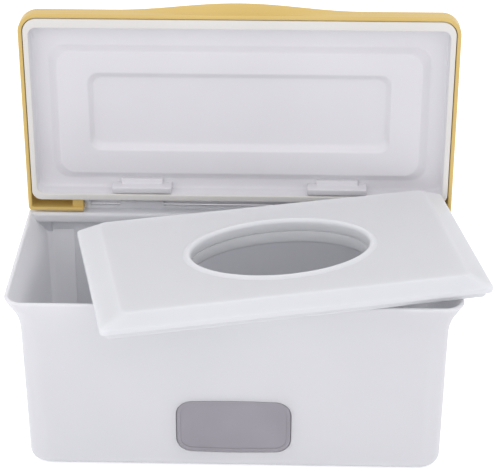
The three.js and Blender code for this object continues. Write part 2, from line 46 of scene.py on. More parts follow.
# Tub
TUB_HALF = 120.0
TUB_HALF_DEPTH = 59.25
TUB_HEIGHT = 103.1
TUB_WALL = 2.4
TUB_FLOOR = 2.6
RIM_CORNER = 10.5
BODY_CORNER = 12.0
RIM_BACK_CORNER = 2.5
BODY_BACK_CORNER = 6.0
FLARE_DROP = 23.6
FLARE_BEND_LOW_DROP = 11.6
FLARE_BEND_HIGH_DROP = 8.6
FLARE_START = TUB_HEIGHT - FLARE_DROP
FLARE_OUT = 6.9
FLARE_FORWARD = 4.0
TAPER = 1.1
BOTTOM_ROUND = 5.0
INNER_ROUND = 3.0
RIM_ROUND = 0.9
BEAM_FRONT = 45.25
BEAM_LENGTH = 235.4
BEAM_DEPTH = 12.9
BEAM_THICKNESS = 6.0
BEAM_EDGE_ROUND = 1.8
BEAM_SINK = 0.03
BOSS_INNER = 107.5
BOSS_OUTER = 114.5
BOSS_BACK = 55.5
BOSS_SETBACK = 1.2
BOSS_DROP = 10
BOSS_NARROWS = 6.4
PANEL_FACE = 51.85
PANEL_BACK = 54.5
PANEL_HALF = 95.5
BAND_HALF = 108
BAND_DROP = 13.6
FOOT_X = 92
FOOT_Y = 36
FOOT_WELL_RADIUS = 6.9
FOOT_WELL_DEPTH = 1.3
WALL_FRONT = FLARE_FORWARD - TUB_HALF_DEPTH

# Hinge and lid
HINGE_IN = 6.0
HINGE_Y = TUB_HALF_DEPTH - HINGE_IN
HINGE_Z = TUB_HEIGHT + SEAM + HINGE_IN
RAIL_AHEAD = 0.6
RAIL_BEHIND = 2.4
RAIL_HALF = 85.5
RAIL_RISE = 1.6
KNUCKLE_INNER = 43.3
KNUCKLE_OUTER = 68
KNUCKLE_RISE = 4.4
EAR_STEM = 85
EAR_INNER = 85.9
EAR_OUTER = 88.2
EAR_RADIUS = 2.6
LID_LENGTH = 118.5
LID_DEPTH = 13.0
LID_WALL = 2.2
LID_INNER = LID_DEPTH - LID_WALL
LID_TOP_ROUND = 5.0
LID_HINGE_CORNER = 2.5
LID_RIM_ROUND = 0.9
LID_INNER_ROUND = 2.0
LID_FIT = 0.4
LIP_HALF = 68.0
NOTCH_REACH = 88.7
BLOCK_OUTER = 95.0
BLOCK_LENGTH = 8.6
BLOCK_DEPTH = 2.1
SEAL_FACE = 0.2
SEAL_THICKNESS = 1.3
SEAL_LOW = 7.1
SEAL_HIGH = LID_LENGTH - LID_WALL - LID_FIT
SEAL_EDGE = 0.5
SEAL_HINGE_CORNER = 5.5
SEAL_FRONT_CORNER = 7.9
SEAL_HOLE_HALF = 114.4
SEAL_HOLE_LOW = 10.8
SEAL_HOLE_HIGH = 110.6
SEAL_HOLE_CORNER = 4.5
LINER_HALF = TUB_HALF - LID_WALL - LID_FIT
LINER_FACE = SEAL_FACE + SEAL_THICKNESS + SEAM
LINER_FLOOR = 9.0
LINER_BACK = 10.5
PAD_ENDS = (38.5, 71.9)
TONGUE_ENDS = (43.5, 67)
APRON_LOW = 0.9
EAR_POCKET_RADIUS = 3.1
EAR_POCKET_MIDDLE = 87.3
EAR_POCKET_HALF = 1.8

# Dispensing plate
PLATE_HALF = 102.4
PLATE_HALF_DEPTH = 48.75
PLATE_CORNER = 2.6
PLATE_TOP_CORNER = 4.4
PLATE_INNER_CORNER = 1.2
PLATE_HEIGHT = 13.8
COVER_START = 4.2
BAND_TOP = 7.4
SLOPE_SIDE = 11.7
SLOPE_FRONT = 5.0
HOLE_X = 48.0
HOLE_Y = 25.5
COLLAR_WALL = 2.2
LIP_RISE = 1.2
LIP_REACH = 5.0
COLLAR_SEAM = 8.0
COVER_RIM = 4
COVER_SKIN = 2
BASE_INSET = 2.6
BASE_WALL = 2
BASE_ROUND = 1.4
PLATE_PLACE = (24.1, -24.8, TUB_HEIGHT + 3.4)
PLATE_TURNS = (4.5, -0.7, 12.94)

WINDOW_HALF = 31.0
WINDOW_LOW = 10.4
WINDOW_HIGH = 42.6
WINDOW_CORNER = 8.5
WINDOW_BOW = 0.5
WINDOW_RECESS = 0.3
WINDOW_BORDER = 2.5
WINDOW_BORDER_DEPTH = 0.4
FLANGE_REACH = 3
FLANGE_THICKNESS = 1.2

SHARP_ANGLE = math.radians(32)

# The camera's place in metres, its yaw, pitch and roll in degrees, and its lens
CAMERA_PLACE = (0.028529, -0.851348, 0.55871)
CAMERA_TURNS = (-1.711, 28.014, -0.082)
CAMERA_FOCAL_WIDTHS = 1773.6 / 500
CAMERA_SHIFT = (0.01566, 0.02711)
SENSOR_WIDTH = 36


# Colour and material helpers

def linear(hex_colour):
    """sRGB hex to the linear colour that a shader socket takes."""
    parts = [int(hex_colour[k:k + 2], 16) / 255 for k in (1, 3, 5)]
    curve = [c / 12.92 if c <= 0.04045 else ((c + 0.055) / 1.055) ** 2.4 for c in parts]
    return (*curve, 1.0)


def add(tree, kind, links=None, inputs=None, **settings):
    """Adds a node with its settings, its fixed inputs and the sockets that feed it."""
    new = tree.nodes.new(kind)
    for name, value in settings.items():
        setattr(new, name, value)
    for name, value in (inputs or {}).items():
        new.inputs[name].default_value = value
    for name, socket in (links or {}).items():
        tree.links.new(socket, new.inputs[name])
    return new


def plastic(name, colour, deep, roughness, grain_mm, grain_height_mm, glow=0.0):
    """Injection moulded plastic. The two colours drift into each other over some
    centimetres, as melt flow leaves them, and the tool's fine spark-eroded grain
    breaks the gloss."""
    material = bpy.data.materials.new(name)
    material.use_nodes = True
    tree = material.node_tree
    tree.nodes.clear()
    place = add(tree, "ShaderNodeTexCoord")
    drift = add(tree, "ShaderNodeTexNoise", {"Vector": place.outputs["Object"]},
                {"Scale": 1 / (60 * MM), "Detail": 2.0, "Roughness": 0.45})
    tone = add(tree, "ShaderNodeValToRGB", {"Fac": drift.outputs["Fac"]})
    tone.color_ramp.elements[0].position = 0.3
    tone.color_ramp.elements[0].color = linear(deep)
    tone.color_ramp.elements[1].position = 0.7
    tone.color_ramp.elements[1].color = linear(colour)
    grain = add(tree, "ShaderNodeTexNoise", {"Vector": place.outputs["Object"]},
                {"Scale": 1 / (grain_mm * MM), "Detail": 3.0, "Roughness": 0.6})
    polish = add(tree, "ShaderNodeMapRange", {"Value": grain.outputs["Fac"]},
                 {"From Min": 0.3, "From Max": 0.7, "To Min": roughness - 0.05, "To Max": roughness + 0.06})
    bump = add(tree, "ShaderNodeBump", {"Height": grain.outputs["Fac"]},
               {"Strength": 0.35, "Distance": grain_height_mm * MM})
    shader = add(tree, "ShaderNodeBsdfPrincipled", {
        "Base Color": tone.outputs["Color"],
        "Roughness": polish.outputs["Result"],
        "Normal": bump.outputs["Normal"],
    }, {"IOR": 1.49, "Subsurface Weight": glow, "Subsurface Radius": (1.0, 1.0, 1.0),
        "Subsurface Scale": 8 * MM})
    add(tree, "ShaderNodeOutputMaterial", {"Surface": shader.outputs["BSDF"]})
    return material


# Moulded polypropylene, white: bright, slightly cool and satin, with soft wide highlights
WHITE_SHELL = plastic("white moulded polypropylene", "#e3e4e7", "#e0e1e5", 0.38, 0.9, 0.012, glow=0.7)
# The same polypropylene from a finer tool: the plate is a little smoother
WHITE_PLATE = plastic("white plate polypropylene", "#e4e6e9", "#e2e4e7", 0.42, 0.8, 0.010, glow=0.6)
# Lid liner, duller white polypropylene, spreads light evenly with hardly a highlight
WHITE_LINER = plastic("matte white liner polypropylene", "#e6e5e8", "#e3e2e5", 0.52, 0.8, 0.014)
# Lid shell, pale mustard polypropylene: warm, opaque, with a broad soft sheen on its ridge
MUSTARD_SHELL = plastic("mustard moulded polypropylene", "#dfc276", "#dabb6d", 0.40, 0.9, 0.012)
# Seal, moulded elastomer: warm white and dull, so that it reads softer than the liner
SEAL_ELASTOMER = plastic("warm white moulded elastomer", "#e9e7e3", "#e5e3de", 0.60, 0.7, 0.016)
# Feet, moulded silicone rubber: mid grey, dull and slightly dusty
FOOT_RUBBER = plastic("grey silicone rubber", "#8f9196", "#85878c", 0.80, 0.8, 0.03)


def frosted_window():
    """Frosted polycarbonate: a grey, faintly violet pane that lets through a blurred
    darkness from the tub behind it."""
    material = bpy.data.materials.new("frosted polycarbonate")
    material.use_nodes = True
    tree = material.node_tree
    tree.nodes.clear()
    place = add(tree, "ShaderNodeTexCoord")
    frost = add(tree, "ShaderNodeTexNoise", {"Vector": place.outputs["Object"]},
                {"Scale": 1 / (0.7 * MM), "Detail": 4.0, "Roughness": 0.65})
    haze = add(tree, "ShaderNodeTexNoise", {"Vector": place.outputs["Object"]},
               {"Scale": 1 / (25 * MM), "Detail": 1.0})
    tone = add(tree, "ShaderNodeValToRGB", {"Fac": haze.outputs["Fac"]})
    tone.color_ramp.elements[0].position = 0.3
    tone.color_ramp.elements[0].color = linear("#a6a2aa")
    tone.color_ramp.elements[1].position = 0.7
    tone.color_ramp.elements[1].color = linear("#aeaab2")
    polish = add(tree, "ShaderNodeMapRange", {"Value": frost.outputs["Fac"]},
                 {"From Min": 0.3, "From Max": 0.7, "To Min": 0.34, "To Max": 0.46})
    bump = add(tree, "ShaderNodeBump", {"Height": frost.outputs["Fac"]},
               {"Strength": 0.3, "Distance": 0.01 * MM})
    shader = add(tree, "ShaderNodeBsdfPrincipled", {
        "Base Color": tone.outputs["Color"],
        "Roughness": polish.outputs["Result"],
        "Normal": bump.outputs["Normal"],
    }, {"IOR": 1.58, "Transmission Weight": 0.25})
    add(tree, "ShaderNodeOutputMaterial", {"Surface": shader.outputs["BSDF"]})
    return material


def drawn_steel(name, colour, along):
    """Steel with its drawing or rolling marks running one way: a grey metal whose
    highlight is stretched along the marks."""
    material = bpy.data.materials.new(name)
    material.use_nodes = True
    tree = material.node_tree
    tree.nodes.clear()
    place = add(tree, "ShaderNodeTexCoord")
    lay = add(tree, "ShaderNodeMapping", {"Vector": place.outputs["Object"]}, {"Scale": along})
    marks = add(tree, "ShaderNodeTexNoise", {"Vector": lay.outputs["Vector"]},
                {"Scale": 1 / (0.4 * MM), "Detail": 3.0})
    polish = add(tree, "ShaderNodeMapRange", {"Value": marks.outputs["Fac"]},
                 {"From Min": 0.3, "From Max": 0.7, "To Min": 0.25, "To Max": 0.42})
    bump = add(tree, "ShaderNodeBump", {"Height": marks.outputs["Fac"]},
               {"Strength": 0.3, "Distance": 0.01 * MM})
    tone = add(tree, "ShaderNodeValToRGB", {"Fac": marks.outputs["Fac"]})
    tone.color_ramp.elements[0].color = linear("#8e9094")
    tone.color_ramp.elements[1].color = linear(colour)
    shader = add(tree, "ShaderNodeBsdfPrincipled", {
        "Base Color": tone.outputs["Color"],
        "Roughness": polish.outputs["Result"],
        "Normal": bump.outputs["Normal"],
    }, {"Metallic": 1.0})
    add(tree, "ShaderNodeOutputMaterial", {"Surface": shader.outputs["BSDF"]})
    return material


# Shape helpers. A row is half width, low y, high y, the corners at low and high y,
# the level, and how far the middle of the high side is pushed out.

def quarter(steps):
    return [k / steps * math.pi / 2 for k in range(steps + 1)]


def lip_weight(x):
    return math.cos(math.pi * x / (2 * LIP_HALF)) ** 2 if abs(x) < LIP_HALF else 0.0


def reshape_round(face, old, new):
    """Moves a rounded outline's points from one row to the next."""
    old_half, old_low, old_high, old_lc, old_hc = old[:5]
    half, low, high, low_corner, high_corner, level = new[:6]
    push = new[6] if len(new) > 6 else 0.0
    middle = (old_low + old_high) / 2
    for vert in face.verts:
        x, y = vert.co.x, vert.co.y
        side = math.copysign(1, x)
        upper = y > middle
        old_corner, corner = (old_hc, high_corner) if upper else (old_lc, low_corner)
        if abs(x) < old_half - old_corner - 1e-3:
            vert.co = (x, high + push * lip_weight(x) if upper else low, level)
            continue
        old_y = old_high - old_corner if upper else old_low + old_corner
        new_y = high - corner if upper else low + corner
        grow = corner / old_corner
        vert.co = (side * (half - corner) + (x - side * (old_half - old_corner)) * grow,
                   new_y + (y - old_y) * grow, level)


def reshape_oval(face, old, new):
    """Moves an oval's points from one size and level to the next."""
    for vert in face.verts:
        vert.co = (vert.co.x * new[0] / old[0], vert.co.y * new[1] / old[1], new[2])


def round_outline(row, arc, splits):
    """One flat face with round corners, its high side split for a finger lip."""
    half, low, high, low_corner, high_corner, level = row[:6]
    bm = bmesh.new()
    bmesh.ops.create_grid(bm, x_segments=1, y_segments=1, size=1)
    bmesh.ops.scale(bm, verts=bm.verts, vec=(half, (high - low) / 2, 1))
    bmesh.ops.translate(bm, verts=bm.verts, vec=(0, (low + high) / 2, level))
    for corner, y in ((low_corner, low), (high_corner, high)):
        ends = [v for v in bm.verts if abs(v.co.y - y) < 1e-4 and abs(abs(v.co.x) - half) < 1e-4]
        bmesh.ops.bevel(bm, geom=ends, affect="VERTICES", offset=corner, segments=arc, profile=0.5,
                        material=-1)
    if splits:
        side = [e for e in bm.edges if all(abs(v.co.y - high) < 1e-4 for v in e.verts)]
        bmesh.ops.bisect_edges(bm, edges=side, cuts=splits)
    return bm


def oval_outline(row):
    bm = bmesh.new()
    bmesh.ops.create_circle(bm, cap_ends=True, segments=112, radius=1)
    bmesh.ops.scale(bm, verts=bm.verts, vec=(row[0], row[1], 1))
    bmesh.ops.translate(bm, verts=bm.verts, vec=(0, 0, row[2]))
    return bm


def skin(bm, rows, reshape, loop=False):
    """Walks one face through the rows and leaves a wall behind it. A loop joins the
    last row to the first; otherwise both ends are closed."""
    bm.faces.ensure_lookup_table()
    face = bm.faces[0]
    reshape(face, rows[0], rows[0])
    if not loop:
        cap = bmesh.ops.duplicate(bm, geom=[face])
        bmesh.ops.reverse_faces(bm, faces=[g for g in cap["geom"] if isinstance(g, bmesh.types.BMFace)])
    for old, new in zip(rows, rows[1:]):
        bmesh.ops.inset_region(bm, faces=[face], thickness=0, depth=0, use_boundary=True,
                               use_even_offset=True)
        reshape(face, old, new)
    if loop:
        bmesh.ops.delete(bm, geom=[face], context="FACES_ONLY")
        bmesh.ops.bridge_loops(bm, edges=[e for e in bm.edges if e.is_boundary])
    bmesh.ops.remove_doubles(bm, verts=bm.verts, dist=1e-3)
    bmesh.ops.recalc_face_normals(bm, faces=bm.faces)
    return bm


def round_skin(rows, arc=12, loop=False, splits=0):
    return skin(round_outline(rows[0], arc, splits), rows, reshape_round, loop)


def oval_skin(rows, loop=False):
    return skin(oval_outline(rows[0]), rows, reshape_oval, loop)


def block(x0, x1, y0, y1, z0, z1, edge=0.3, segments=2):
    """A moulded block with its edges broken."""
    bm = bmesh.new()
    bmesh.ops.create_cube(bm, size=1)
    bmesh.ops.scale(bm, verts=bm.verts, vec=(x1 - x0, y1 - y0, z1 - z0))
    bmesh.ops.translate(bm, verts=bm.verts, vec=((x0 + x1) / 2, (y0 + y1) / 2, (z0 + z1) / 2))
    bmesh.ops.bevel(bm, geom=bm.edges[:], affect="EDGES", offset=edge, segments=segments, profile=0.5,
                    material=-1)
    return bm


def side_block(side, near, far, *rest, **more):
    ends = (near, far) if side > 0 else (-far, -near)
    return block(*ends, *rest, **more)


def rod(radius, x0, x1, y, z):
    bm = bmesh.new()
    bmesh.ops.create_cone(bm, cap_ends=True, segments=48, radius1=radius, radius2=radius, depth=x1 - x0)
    bmesh.ops.rotate(bm, verts=bm.verts, cent=(0, 0, 0), matrix=Matrix.Rotation(math.pi / 2, 3, "Y"))
    bmesh.ops.translate(bm, verts=bm.verts, vec=((x0 + x1) / 2, y, z))
    return bm


def temporary(bm):
    """A loose object that only serves to cut or be joined."""
    mesh = bpy.data.meshes.new("loose")
    bm.to_mesh(mesh)
    bm.free()
    made = bpy.data.objects.new("loose", mesh)
    bpy.context.scene.collection.objects.link(made)
    return made


def combine(first, others, operation):
    """Joins solids to the first one or cuts them out of it."""
    base = temporary(first)
    for other in others:
        tool = temporary(other)
        change = base.modifiers.new("combine", "BOOLEAN")
        change.operation = operation
        change.solver = "EXACT"
        change.object = tool
        settled = bpy.context.evaluated_depsgraph_get()
        mesh = bpy.data.meshes.new_from_object(base.evaluated_get(settled))
        base.modifiers.clear()
        base.data = mesh
        bpy.data.objects.remove(tool)
    bm = bmesh.new()
    bm.from_mesh(base.data)
    bpy.data.objects.remove(base)
    return bm


def piece(name, bm, body, nodes, material, place=None, edge=0.0, level_shading=False):
    """Finishes a drawn shape: puts it in place, turns it to metres and hangs it on
    its body in place of its CAD nodes."""
    if place is not None:
        bmesh.ops.transform(bm, matrix=place, verts=bm.verts)
    bmesh.ops.scale(bm, verts=bm.verts, vec=(MM, MM, MM))
    mesh = bpy.data.meshes.new(name)
    bm.to_mesh(mesh)
    bm.free()
    mesh.materials.clear()
    mesh.materials.append(material)
    for polygon in mesh.polygons:
        polygon.material_index = 0
    mesh.shade_smooth()
    mesh.set_sharp_from_angle(angle=SHARP_ANGLE)
    made = bpy.data.objects.new(name, mesh)
    bpy.context.scene.collection.objects.link(made)
    if edge:
        soften = made.modifiers.new("edge", "BEVEL")
        soften.width = edge * MM
        soften.segments = 3
        soften.limit_method = "ANGLE"
        soften.angle_limit = math.radians(50)
        soften.harden_normals = False
    if level_shading:
        steady = made.modifiers.new("steady", "WEIGHTED_NORMAL")
        steady.keep_sharp = True
    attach(made, body)
    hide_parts(*nodes)
    return made


# Tub

def tub_row(lean, inset, level):
    """The wall leans out toward the rim: lean 1 is the body, 0 the rim."""
    taper = TAPER * max(0.0, 1 - level / FLARE_START)
    half = TUB_HALF - lean * FLARE_OUT - taper - inset
    half_depth = TUB_HALF_DEPTH - lean * FLARE_FORWARD - inset
    front = RIM_CORNER + lean * (BODY_CORNER - RIM_CORNER) - inset
    back = RIM_BACK_CORNER + lean * (BODY_BACK_CORNER - RIM_BACK_CORNER) - inset
    return half, -half_depth, half_depth, max(front, 1.5), max(back, 1.0), level


def flare(steps=16):
    """Lean and level along the curve from the body to the rim."""
    ends = (
        (1, FLARE_START),
        (0.97, TUB_HEIGHT - FLARE_BEND_LOW_DROP),
        (0.46, TUB_HEIGHT - FLARE_BEND_HIGH_DROP),
        (0, TUB_HEIGHT - RIM_ROUND),
    )
    points = []
    for k in range(steps + 1):
        t = k / steps
        share = ((1 - t) ** 3, 3 * t * (1 - t) ** 2, 3 * t * t * (1 - t), t ** 3)
        points.append(tuple(sum(s * e[n] for s, e in zip(share, ends)) for n in (0, 1)))
    return points


def tub_shell():
    rows = [tub_row(1, BOTTOM_ROUND * (1 - math.sin(a)), BOTTOM_ROUND * (1 - math.cos(a)))
            for a in quarter(10)]
    rows += [tub_row(lean, 0, level) for lean, level in flare()]
    rows += [tub_row(0, RIM_ROUND * (1 - math.cos(a)), TUB_HEIGHT - RIM_ROUND * (1 - math.sin(a)))
             for a in quarter(5)[1:]]
    rows += [tub_row(0, TUB_WALL - RIM_ROUND * (1 - math.sin(a)),
                     TUB_HEIGHT - RIM_ROUND * (1 - math.cos(a)))
             for a in quarter(5)[:-1]]
    rows += [tub_row(lean, TUB_WALL, level) for lean, level in reversed(flare())]
    rows += [tub_row(1, TUB_WALL + INNER_ROUND * (1 - math.cos(a)),
                     TUB_FLOOR + INNER_ROUND * (1 - math.sin(a)))
             for a in quarter(8)]
    return round_skin(rows, arc=14)


def front_edges(bm, above, below):
    """The beam's long front edges that lie between two levels."""
    return [e for e in bm.edges
            if all(v.co.y < BEAM_FRONT + 1 and above < v.co.z < below for v in e.verts)]


def beam():
    """The bar across the back of the mouth, round along its front top edge."""
    middle = (0, BEAM_FRONT + BEAM_DEPTH / 2, TUB_HEIGHT - BEAM_SINK - BEAM_THICKNESS / 2)
    bm = bmesh.new()
    bmesh.ops.create_cube(bm, size=1)
    bmesh.ops.scale(bm, verts=bm.verts, vec=(BEAM_LENGTH, BEAM_DEPTH, BEAM_THICKNESS - BEAM_SINK))
    bmesh.ops.translate(bm, verts=bm.verts, vec=middle)
    over = front_edges(bm, TUB_HEIGHT - 1, TUB_HEIGHT + 1)
    bmesh.ops.bevel(bm, geom=over, affect="EDGES", offset=BEAM_EDGE_ROUND, segments=8, profile=0.5,
                    material=-1)
    under = front_edges(bm, 0, TUB_HEIGHT - 5)
    bmesh.ops.bevel(bm, geom=under, affect="EDGES", offset=0.6, segments=3, profile=0.5, material=-1)
    return bm


def corner_boss(side):
    """Rib under the beam's end that narrows down to the back wall."""
    top = TUB_HEIGHT - BEAM_THICKNESS
    bm = side_block(side, BOSS_INNER, BOSS_OUTER, BEAM_FRONT + BOSS_SETBACK, BOSS_BACK,
                    top - BOSS_DROP, top + 1, edge=0.4)
    for vert in bm.verts:
        if vert.co.z < top - BOSS_DROP / 2 and vert.co.y < 50:
            vert.co.y += BOSS_NARROWS
    return bm


def hinge_rail():
    """The step that the lid's pads stop against, its knuckles and the two pin ears."""
    front, back = HINGE_Y - RAIL_AHEAD, HINGE_Y + RAIL_BEHIND
    low = TUB_HEIGHT - 1
    parts = [block(-RAIL_HALF, RAIL_HALF, front, back, low, TUB_HEIGHT + RAIL_RISE, edge=0.35)]
    for side in (-1, 1):
        parts.append(side_block(side, KNUCKLE_INNER, KNUCKLE_OUTER, front, back, low,
                                TUB_HEIGHT + KNUCKLE_RISE, edge=0.6, segments=3))
        stem = side_block(side, EAR_STEM, EAR_OUTER, front, HINGE_Y + EAR_RADIUS, low, HINGE_Z, edge=0.2)
        ends = (EAR_INNER, EAR_OUTER) if side > 0 else (-EAR_OUTER, -EAR_INNER)
        parts += [stem, rod(EAR_RADIUS, *ends, HINGE_Y, HINGE_Z)]
    return parts


def swing_room(side):
    """Room in the beam's end that the lid's hinge-side rim corner swings through."""
    def reach(inward):
        return math.hypot(HINGE_IN, HINGE_IN - inward) + LID_FIT

    start, end = EAR_OUTER + SEAM, TUB_HALF + 1
    corner = TUB_HALF - LID_HINGE_CORNER
    points = [(start, 0), (start, reach(0))]
    points += [(corner + LID_HINGE_CORNER * math.sin(a), reach(LID_HINGE_CORNER * (1 - math.cos(a))))
               for a in quarter(12)]
    points += [(end, reach(LID_HINGE_CORNER)), (end, 0)]
    bm = bmesh.new()
    verts = [bm.verts.new((side * x, HINGE_Y, HINGE_Z - reach)) for x, reach in points]
    edges = [bm.edges.new(pair) for pair in zip(verts, verts[1:])]
    bmesh.ops.spin(bm, geom=verts + edges, cent=(0, HINGE_Y, HINGE_Z), axis=(1, 0, 0), angle=math.tau,
                   steps=96, use_merge=True)
    bmesh.ops.remove_doubles(bm, verts=bm.verts, dist=1e-3)
    bmesh.ops.recalc_face_normals(bm, faces=bm.faces)
    return bm


def foot_well(x, y):
    """Shallow round pocket in the underside."""
    well = rod(FOOT_WELL_RADIUS, -1, FOOT_WELL_DEPTH, 0, 0)
    upright = Matrix.Rotation(-math.pi / 2, 3, "Y")
    bmesh.ops.rotate(well, verts=well.verts, cent=(0, 0, 0), matrix=upright)
    bmesh.ops.translate(well, verts=well.verts, vec=(x, y, 0))
    return well


def make_tub():
    top = TUB_HEIGHT - BEAM_THICKNESS + 1
    panels = [
        block(-PANEL_HALF, PANEL_HALF, PANEL_FACE, PANEL_BACK, 5, top, edge=0.4),
        block(-BAND_HALF, BAND_HALF, PANEL_FACE, PANEL_BACK, TUB_HEIGHT - BAND_DROP, top, edge=0.4),
    ]
    inner = [beam(), *panels, corner_boss(-1), corner_boss(1), *hinge_rail()]
    whole = combine(tub_shell(), inner, "UNION")
    opening = window_slab(0, WALL_FRONT - 3, WALL_FRONT + TUB_WALL + 1)
    wells = [foot_well(x, y) for x in (-FOOT_X, FOOT_X) for y in (-FOOT_Y, FOOT_Y)]
    whole = combine(whole, [opening, *wells, swing_room(-1), swing_room(1)], "DIFFERENCE")
    piece("tub_moulding", whole, "tub", ["tub"], WHITE_SHELL, edge=0.25)


# Window

def window_slab(shrink, front, back, edge=0.0):
    """Round-cornered slab standing in the front wall, its long edges slightly bowed."""
    corner = WINDOW_CORNER - min(shrink, 4)
    half = WINDOW_HALF - shrink
    low, high = WINDOW_LOW + shrink, WINDOW_HIGH - shrink
    row = (half, low, high, corner, corner)
    inner = (half - edge, low + edge, high - edge, corner - edge, corner - edge)
    rows = [(*inner, -back), (*row, edge - back), (*row, -front - edge), (*inner, -front)]
    if not edge:
        rows = [(*row, -back), (*row, -front)]
    bm = round_outline(rows[0], 12, 0)
    sides = [e for e in bm.edges
             if abs(e.verts[0].co.y - e.verts[1].co.y) < 1e-4 and e.calc_length() > WINDOW_HALF]
    bmesh.ops.bisect_edges(bm, edges=sides, cuts=11)
    bm = skin(bm, rows, reshape_round)
    for vert in bm.verts:
        reach = half - corner
        if abs(vert.co.x) < reach:
            bow = WINDOW_BOW * (1 - (vert.co.x / reach) ** 2)
            vert.co.y += bow if vert.co.y > (low + high) / 2 else -bow
    bmesh.ops.rotate(bm, verts=bm.verts, cent=(0, 0, 0), matrix=Matrix.Rotation(math.pi / 2, 3, "X"))
    return bm


def make_window():
    inside = WALL_FRONT + TUB_WALL + SEAM
    face = WALL_FRONT + WINDOW_RECESS
    panel = window_slab(SEAM, face, inside + FLANGE_THICKNESS / 2, edge=0.35)
    shallow = window_slab(WINDOW_BORDER, WALL_FRONT - 3, face + WINDOW_BORDER_DEPTH)
    flange = window_slab(-FLANGE_REACH, inside, inside + FLANGE_THICKNESS)
    whole = combine(combine(panel, [shallow], "DIFFERENCE"), [flange], "UNION")
    piece("window_panel", whole, "tub", ["window"], frosted_window(), edge=0.12)


# Lid, drawn lying on its back with the rim up, the hinge side at y = 0

LIP_OUT = ((13, -1), (12.7, 0.6), (12, 2.1), (11, 3.2), (10.2, 3.7), (9.5, 3.8), (8.7, 3.5), (8, 3),
           (7.3, 2.1), (6.6, 1.1), (5.9, 0.1), (5.2, -0.6), (4.6, -0.9), (4, -1), (3.3, -0.85),
           (2.6, -0.6), (2, -0.3), (1.4, 0), (0.9, 0))


def lid_row(inset, depth, out=None):
    hinge_corner = max(LID_HINGE_CORNER - inset, 1.0)
    front_corner = max(RIM_CORNER - inset, 1.5)
    push = 0.0 if out is None else out + inset
    return TUB_HALF - inset, inset, LID_LENGTH - inset, hinge_corner, front_corner, -depth, push


def top_round(depth):
    rise = max(0.0, depth - (LID_DEPTH - LID_TOP_ROUND))
    return LID_TOP_ROUND - math.sqrt(LID_TOP_ROUND ** 2 - rise ** 2)


def lid_place():
    stand = Matrix.Rotation(math.pi / 2, 4, "X")
    return Matrix.Translation((0, HINGE_Y - HINGE_IN, TUB_HEIGHT + SEAM)) @ stand


def make_lid_shell():
    rows = [lid_row(top_round(depth), depth, out) for depth, out in LIP_OUT]
    rows += [lid_row(LID_RIM_ROUND * (1 - math.cos(a)), LID_RIM_ROUND * (1 - math.sin(a)))
             for a in quarter(5)[1:]]
    rows += [lid_row(LID_WALL - 0.6 * (1 - math.sin(a)), 0.6 * (1 - math.cos(a))) for a in quarter(4)]
    rows += [lid_row(LID_WALL + LID_INNER_ROUND * (1 - math.cos(a)),
                     LID_INNER - LID_INNER_ROUND * (1 - math.sin(a)))
             for a in quarter(5)]
    tray = round_skin(rows, arc=14, splits=47)
    notch_back = LID_WALL + LID_INNER_ROUND + LID_FIT
    notch = block(-NOTCH_REACH, NOTCH_REACH, -1, notch_back, -LID_INNER, 1, edge=0.01, segments=1)
    tray = combine(tray, [notch], "DIFFERENCE")
    blocks = [side_block(side, NOTCH_REACH, BLOCK_OUTER, 0.5, BLOCK_LENGTH, -LID_INNER - 0.5,
                         -BLOCK_DEPTH, edge=0.5, segments=3)
              for side in (-1, 1)]
    piece("lid_shell_moulding", combine(tray, blocks, "UNION"), "lid", ["lid_shell"],
          MUSTARD_SHELL, lid_place(), edge=0.25)


def make_lid_seal():
    def edge(inset, depth):
        return (LINER_HALF - inset, SEAL_LOW + inset, SEAL_HIGH - inset,
                SEAL_HINGE_CORNER - inset, SEAL_FRONT_CORNER - inset, -depth)

    def hole(inset, depth):
        return (SEAL_HOLE_HALF + inset, SEAL_HOLE_LOW - inset, SEAL_HOLE_HIGH + inset,
                SEAL_HOLE_CORNER + inset, SEAL_HOLE_CORNER + inset, -depth)

    back = SEAL_FACE + SEAL_THICKNESS
    rows = [edge(0, back)]
    rows += [edge(SEAL_EDGE * (1 - math.cos(a)), SEAL_FACE + SEAL_EDGE * (1 - math.sin(a)))
             for a in quarter(4)]
    rows += [hole(SEAL_EDGE * (1 - math.sin(a)), SEAL_FACE + SEAL_EDGE * (1 - math.cos(a)))
             for a in quarter(4)]
    rows += [hole(0, back)]
    piece("lid_seal_frame", round_skin(rows, loop=True), "lid", ["lid_seal"],
          SEAL_ELASTOMER, lid_place())


